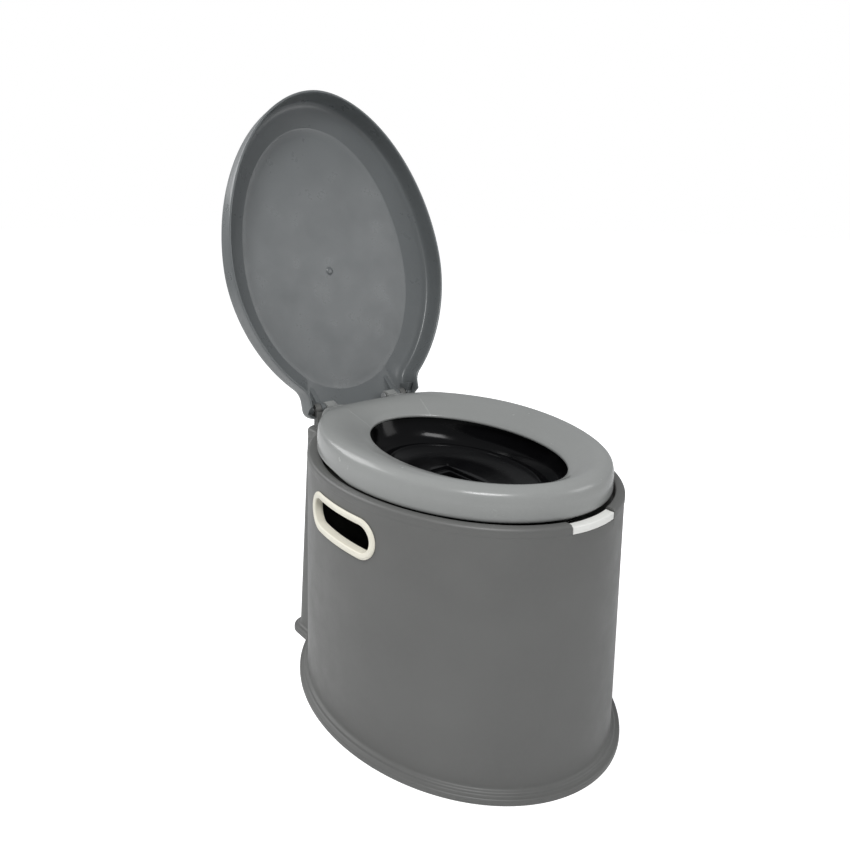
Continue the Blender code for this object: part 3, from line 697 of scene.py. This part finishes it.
under_side = [
    lid_ring(oval_at(LID_REF, 0.0010, 0.0010, 0.0010, yc=-LID_MID), 0.0388),
    lid_ring(oval_at(LID_REF, 0.0026, 0.0026, 0.0026, yc=-LID_MID), 0.0389),
    lid_ring(oval_at(LID_REF, 0.0036, 0.0036, 0.0036, yc=-LID_MID), 0.0393),
    lid_ring(oval_at(LID_REF, 0.0044, 0.0044, 0.0044, yc=-LID_MID), 0.0399),
    lid_ring(tiny, 0.0400), lid_ring(centre, 0.0399), lid_ring(mix(deep, centre, 0.6), 0.0392),
    lid_ring(mix(deep, centre, 0.10), 0.0382), lid_ring(mix(deep, centre, 0.015), 0.03795), lid_ring(mix(edge, deep, 0.985), 0.0377),
    lid_ring(mix(edge, deep, 0.92), 0.0371),
    lid_ring(mix(edge, deep, 0.6), 0.0341), lid_ring(mix(edge, deep, 0.3), 0.0312),
    lid_ring(mix(edge, deep, 0.05), 0.0287), lid_ring(lid_at(0.0080), 0.0280), lid_ring(lid_at(0.0052), 0.0266),
    lid_ring(lid_at(0.0039), 0.0235), lid_ring(lid_at(0.0033), 0.0190), lid_ring(lid_at(0.0029), 0.0090),
    lid_ring(lid_at(0.0027), 0.0012), lid_ring(lid_at(0.0024), 0.0004), lid_ring(lid_at(0.0020), 0.0)]
a_side = spline(top_side, 3, sharp=(3,))
b_side = spline(under_side, 3)
bm = bmesh.new()
va = [[bm.verts.new(p) for p in r] for r in a_side]
vb = [[bm.verts.new(p) for p in r] for r in b_side]
k = len(va[0])
for vs in (va, vb):
    for i in range(len(vs) - 1):
        for j in range(k):
            bm.faces.new((vs[i][j], vs[i][(j + 1) % k], vs[i + 1][(j + 1) % k], vs[i + 1][j]))
for j in range(k):
    bm.faces.new((va[0][j], va[0][(j + 1) % k], vb[-1][(j + 1) % k], vb[-1][j]))
for end in (va[-1], vb[0]):
    c = Vector((0, 0, 0))
    for v in end:
        c += v.co
    mid = bm.verts.new(c / k)
    for j in range(k):
        bm.faces.new((end[j], end[(j + 1) % k], mid))
lid = from_bmesh(bm, "lid_body")


def lid_tool(poly, x0, x1):
    return prism_x([(-v, LID_PLANE + h) for v, h in poly], x0, x1, "t", shift=False)


def arc_vh(r, a0, a1, count):
    return [(r * math.cos(a0 + (a1 - a0) * i / count), AX + r * math.sin(a0 + (a1 - a0) * i / count))
            for i in range(count + 1)]


boolean(lid, lid_tool([(-0.030, -0.010), (0.0030, -0.010), (0.0030, 0.0275), (-0.030, 0.0275)],
                      -0.0695, 0.0695), 'DIFFERENCE')
boolean(lid, lid_tool([(-0.030, -0.010), (0.0040, -0.010), (0.0040, 0.0), (-0.0040, 0.0125), (-0.030, 0.0125)],
                      -0.10, 0.10), 'DIFFERENCE')
for s in (-1, 1):
    # v runs to the front, so the back of the ear is at negative v
    ear = [(0.0120, 0.0050), (0.0120, 0.0268), (-0.0010, 0.0268), (-0.0038, 0.0262)]
    ear += arc_vh(0.0064, math.pi * 0.80, math.pi * 1.60, 24)
    boolean(lid, lid_tool(ear, s * LID_EAR[0], s * LID_EAR[1]), 'UNION')
    rib = [(0.0240, 0.0384), (0.0160, 0.0374), (-0.0010, 0.0294), (-0.0040, 0.0281)]
    rib += arc_vh(0.0066, math.pi * 0.80, math.pi * 1.83, 30)
    rib += [(0.0080, 0.0240), (0.0240, 0.0350)]
    boolean(lid, lid_tool(rib, s * LID_RIB[0], s * LID_RIB[1]), 'UNION')
for s in (-1, 1):
    boolean(lid, lid_tool([(PIN_HOLE_R * math.cos(2 * math.pi * i / 32), AX + PIN_HOLE_R * math.sin(2 * math.pi * i / 32))
                           for i in range(32)], s * 0.0500, s * 0.0750), 'DIFFERENCE')
soften(lid, 0.0005)
lid.data.transform(OPEN)
place(lid, "lid", "lid", LID_GREY)

# ------------------------------------------------------------ hinge pins
for side, s in (("left", -1), ("right", 1)):
    ob = lathe_x([(s * 0.0372, PIN_R - 0.0005), (s * 0.0374, PIN_R - 0.0002), (s * 0.0377, PIN_R),
                  (s * 0.0741, PIN_R), (s * 0.0744, PIN_R - 0.0002), (s * 0.0746, PIN_R - 0.0005)],
                 HINGE_Y, HINGE_Z, "pin_" + side)
    place(ob, "shell", "hinge_pin_" + side, STEEL)
    ob = lathe_x([(s * 0.0352, 0.0036), (s * 0.0353, 0.0046), (s * 0.0357, 0.0050), (s * 0.0364, 0.0050),
                  (s * 0.0368, 0.0046), (s * 0.0369, 0.0036)], HINGE_Y, HINGE_Z, "retainer_" + side)
    place(ob, "shell", "pin_retainer_" + side, STEEL)

# ------------------------------------------------------------ inner bucket
NB = 180
BUCKET = [
    (0.0560, 0.0950, 0.0120), (0.0590, 0.0982, 0.0132), (0.0602, 0.0994, 0.0160), (0.0664, 0.1024, 0.1300),
    (0.0728, 0.1052, 0.2500), (0.0745, 0.1075, 0.2552), (0.0812, 0.1160, 0.2580),
    (0.0890, 0.1310, 0.2640), (0.0930, 0.1400, 0.2668), (0.0970, 0.1455, 0.2676), (0.1060, 0.1500, 0.2676),
    (0.1145, 0.1545, 0.2676), (0.1158, 0.1558, 0.2682), (0.1160, 0.1560, 0.2694), (0.1154, 0.1554, 0.2704),
    (0.1142, 0.1542, 0.2706), (0.1060, 0.1505, 0.2708),
    (0.0975, 0.1460, 0.2712), (0.0935, 0.1420, 0.2726), (0.0922, 0.1407, 0.2755), (0.0914, 0.1399, 0.2820),
    (0.0906, 0.1391, 0.2890), (0.0901, 0.1386, 0.2902), (0.0893, 0.1378, 0.2906), (0.0885, 0.1370, 0.2902),
    (0.0880, 0.1364, 0.2890), (0.0868, 0.1320, 0.2780), (0.0852, 0.1260, 0.2690), (0.0800, 0.1145, 0.2620),
    (0.0788, 0.1124, 0.2604), (0.0785, 0.1120, 0.2594), (0.0776, 0.1110, LEDGE_Z),
    (0.0715, 0.1040, LEDGE_Z), (0.0704, 0.1029, 0.2584), (0.0700, 0.1025, 0.2560), (0.0640, 0.0995, 0.1300),
    (0.0580, 0.0965, 0.0180), (0.0574, 0.0959, 0.0158), (0.0550, 0.0935, 0.0145)]
rr = spline([ring(oval(b, a, HOLE_Y, NB), z) for b, a, z in BUCKET], 2,
            sharp=(2, 5, 11, 17, 25, 31, 32, 36))
ob = loft(rr, "bucket_body", closed=False, pole=True)
place(ob, "bucket", "inner_bucket", BLACK)

# ------------------------------------------------------------ splash cover
NC = 180
PROFILE = [
    (0.0060, 0.0200, 0.2457), (0.0200, 0.0480, 0.2458), (0.0440, 0.0760, 0.2560), (0.0650, 0.0960, 0.2600),
    (0.0686, 0.1001, 0.2612),
    (0.0690, 0.1006, 0.2636), (0.0700, 0.1020, 0.2638), (0.0750, 0.1087, 0.2638), (0.0762, 0.1097, 0.2641),
    (COVER_B, COVER_A, 0.2647), (0.0762, 0.1097, 0.2653), (0.0752, 0.1089, 0.2655),
    (0.0702, 0.1022, 0.2655), (0.0688, 0.1006, 0.2662), (0.0678, 0.0996, 0.2676), (0.0664, 0.0984, 0.2682),
    (0.0650, 0.0970, 0.2676), (0.0638, 0.0958, 0.2662), (0.0610, 0.0930, 0.2648), (0.0540, 0.0860, 0.2622),
    (0.0420, 0.0740, 0.2598), (0.0200, 0.0500, 0.2590), (0.0060, 0.0200, 0.2590)]
rr = spline([ring(oval(b, a, HOLE_Y, NC), z) for b, a, z in PROFILE], 2, sharp=(5, 6, 12))
cover = loft(rr, "cover_body", closed=False, pole=True)
GRIP_Y0, GRIP_Y1, GRIP_HALF, GRIP_Z = -0.0500, 0.0290, 0.0130, 0.2480
GRIP_AY, GRIP_AZ = GRIP_Y1 - 0.0050, 0.2535


def round_rect(hx, y0, y1, r, z, count=10):
    pts = []
    for cx, cy, a0 in ((hx - r, y1 - r, 0.0), (-hx + r, y1 - r, math.pi / 2),
                       (-hx + r, y0 + r, math.pi), (hx - r, y0 + r, 1.5 * math.pi)):
        for i in range(count + 1):
            a = a0 + math.pi / 2 * i / count
            pts.append((cx + r * math.cos(a), cy + r * math.sin(a), z))
    return pts


pocket = loft([round_rect(GRIP_HALF, GRIP_Y0, GRIP_Y1, 0.0020, GRIP_Z),
               round_rect(GRIP_HALF, GRIP_Y0 - 0.0012, GRIP_Y1 + 0.0012, 0.0030, 0.2600),
               round_rect(GRIP_HALF + 0.001, GRIP_Y0 - 0.002, GRIP_Y1 + 0.002, 0.0040, 0.2720)], "t", closed=False)
boolean(cover, pocket, 'DIFFERENCE')
boolean(cover, prism_x(disc_poly(GRIP_AY, GRIP_AZ, 0.0014, 24), -0.0158, 0.0158, "t"), 'DIFFERENCE')
soften(cover, 0.0006, 3)
place(cover, "cover", "splash_cover", BLACK)
ob = lathe_x([(-0.0155, 0.0009), (-0.0153, 0.0011), (0.0153, 0.0011), (0.0155, 0.0009)], GRIP_AY, GRIP_AZ,
             "grip_pin", count=24)
place(ob, "cover", "cover_grip_pin", STEEL)


def grip_rings(half, y0, y1, r, grow):
    return round_rect(half + grow, y0 - grow, y1 + grow, r + grow, 0.0, 10)


rr = []
hz = 0.0030
for ins, z in ((0.0010, -hz), (0.0003, -hz + 0.0003), (0.0, -hz + 0.0010), (0.0, hz - 0.0010), (0.0003, hz - 0.0003),
               (0.0010, hz)):
    rr.append([(x, y, GRIP_AZ + z) for x, y, _ in grip_rings(0.0115, GRIP_Y0 + 0.0025, GRIP_AY + 0.0034, 0.0032, -ins)])
for ins, z in ((0.0010, hz), (0.0003, hz - 0.0003), (0.0, hz - 0.0010), (0.0, -hz + 0.0010), (0.0003, -hz + 0.0003),
               (0.0010, -hz)):
    rr.append([(x, y, GRIP_AZ + z) for x, y, _ in grip_rings(0.0070, GRIP_Y0 + 0.0085, GRIP_AY - 0.0050, 0.0020, ins)])
grip = loft(rr, "grip_body")
boolean(grip, prism_x(disc_poly(GRIP_AY, GRIP_AZ, 0.0014, 24), -0.0140, 0.0140, "t"), 'DIFFERENCE')
place(grip, "grip", "cover_grip", BLACK)

seal = []
for b, a, z in ((0.0712, 0.1036, LEDGE_Z + 0.0008), (0.0716, 0.1040, LEDGE_Z + 0.0004),
                (0.0751, 0.1084, LEDGE_Z + 0.0004), (0.0755, 0.1088, LEDGE_Z + 0.0008),
                (0.0755, 0.1088, 0.2630), (0.0751, 0.1084, 0.2634), (0.0716, 0.1040, 0.2634), (0.0712, 0.1036, 0.2630)):
    seal.append(ring(oval(b, a, HOLE_Y, NC), z))
ob = loft(seal, "seal_ring")
place(ob, "cover", "cover_seal", RUBBER)

# ------------------------------------------------------------ floor
m, nt, bsdf = nodes_of("studio_floor")
tc = nt.nodes.new("ShaderNodeTexCoord").outputs["Object"]
col = mix_rgb(nt, remap(nt, noise(nt, tc, 1.3, 2.0, 0.5), 0.0, 1.0), (0.93, 0.93, 0.93), (0.95, 0.95, 0.95))
nt.links.new(col, bsdf.inputs["Base Color"])
bsdf.inputs["Roughness"].default_value = 0.9
bsdf.inputs["Specular IOR Level"].default_value = 0.1
bsdf.inputs["Emission Color"].default_value = (1.0, 1.0, 1.0, 1.0)
sweep = nt.nodes.new("ShaderNodeLightPath")
nt.links.new(math_node(nt, 'MULTIPLY', sweep.outputs["Is Camera Ray"], 0.72), bsdf.inputs["Emission Strength"])
bm = bmesh.new()
R0 = 9.0
c = bm.verts.new((0, 0, -0.0004))
prev = None
first = None
loops = []
for r, z in ((2.0, -0.0004), (R0, -0.0004)):
    loops.append([bm.verts.new((r * math.cos(2 * math.pi * i / 96), r * math.sin(2 * math.pi * i / 96), z)) for i in range(96)])
for j in range(96):
    bm.faces.new((c, loops[0][j], loops[0][(j + 1) % 96]))
    bm.faces.new((loops[0][j], loops[1][j], loops[1][(j + 1) % 96], loops[0][(j + 1) % 96]))
floor = from_bmesh(bm, "floor")
floor.data.materials.append(m)

# ------------------------------------------------------------ light
AMBIENT = 0.36
world = bpy.data.worlds.new("studio")
bpy.context.scene.world = world
world.use_nodes = True
wt = world.node_tree
bg = wt.nodes["Background"]
bg.inputs["Color"].default_value = (1.0, 1.0, 1.0, 1.0)
bg.inputs["Strength"].default_value = 1.0
dim = wt.nodes.new("ShaderNodeBackground")
dim.inputs["Color"].default_value = (0.96, 0.98, 1.0, 1.0)
dim.inputs["Strength"].default_value = AMBIENT
lp = wt.nodes.new("ShaderNodeLightPath")
mx = wt.nodes.new("ShaderNodeMixShader")
wt.links.new(lp.outputs["Is Camera Ray"], mx.inputs[0])
wt.links.new(dim.outputs[0], mx.inputs[1])
wt.links.new(bg.outputs[0], mx.inputs[2])
out_node = [n for n in wt.nodes if n.type == 'OUTPUT_WORLD'][0]
wt.links.new(mx.outputs[0], out_node.inputs["Surface"])
bpy.context.scene.view_settings.view_transform = 'Standard'
bpy.context.scene.view_settings.look = 'None'


def area(name, pos, target, size, power, size_y=None):
    d = bpy.data.lights.new(name, 'AREA')
    d.energy = power
    d.shape = 'RECTANGLE'
    d.size = size
    d.size_y = size_y or size
    ob = bpy.data.objects.new(name, d)
    bpy.context.collection.objects.link(ob)
    ob.location = pos
    ob.rotation_euler = (Vector(target) - Vector(pos)).to_track_quat('-Z', 'Y').to_euler()
    return ob


area("key", (-1.0, -0.8, 1.9), (0, 0, 0.25), 0.8, 26.0)
area("rear", (-0.7, 1.4, 1.3), (0, 0.1, 0.3), 1.0, 12.0)
area("front", (0.95, -1.10, 0.95), (0, 0.1, 0.45), 0.7, 4.0)

# ------------------------------------------------------------ camera
AZ, EL, ROLL = math.radians(-38.606), math.radians(17.586), math.radians(0.7296)
right = Vector((math.cos(AZ), math.sin(AZ), 0))
fwd = Vector((-math.sin(AZ) * math.cos(EL), math.cos(AZ) * math.cos(EL), -math.sin(EL)))
up = right.cross(fwd)
r2 = right * math.cos(ROLL) + up * math.sin(ROLL)
u2 = -right * math.sin(ROLL) + up * math.cos(ROLL)
cam_data = bpy.data.cameras.new("camera")
cam = bpy.data.objects.new("camera", cam_data)
bpy.context.collection.objects.link(cam)
cam_data.sensor_width = 36.0
cam_data.lens = 32.715
cam_data.clip_start = 0.01
cam_data.clip_end = 60.0
cam.matrix_world = Matrix((
    (r2.x, u2.x, -fwd.x, -0.51426),
    (r2.y, u2.y, -fwd.y, -0.58954 + FRAME_Y),
    (r2.z, u2.z, -fwd.z, 0.56387),
    (0, 0, 0, 1)))
bpy.context.scene.camera = cam
